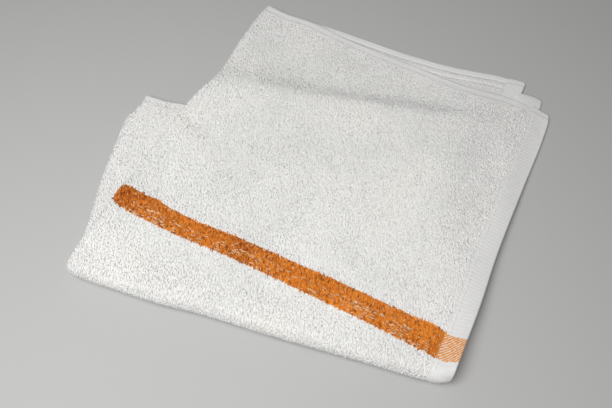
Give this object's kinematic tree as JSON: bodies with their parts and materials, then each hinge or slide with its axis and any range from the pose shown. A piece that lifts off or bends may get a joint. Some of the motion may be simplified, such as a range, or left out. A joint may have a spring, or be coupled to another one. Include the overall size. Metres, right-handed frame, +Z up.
{
  "type": "folded terry bar towel",
  "caption": "Folded white terry bar towel with a woven orange centre stripe, lying flat as a soft stack of layers.",
  "frame": {"origin": "middle of the bounding box's base, on the surface that the towel lies on", "axes": "+X along the near fold, towards the hemmed ends; +Y from the near fold to the far selvages; +Z up"},
  "size_m": [0.2952, 0.2642, 0.0158],
  "materials": {
    "terry": "looped cotton pile, matte",
    "stripe": "looped cotton pile, matte",
    "flat_weave": "flat woven cotton, matte",
    "thread": "twisted sewing thread"
  },
  "bodies": {
    "root": {"towel": "terry"}
  },
  "joints": []
}
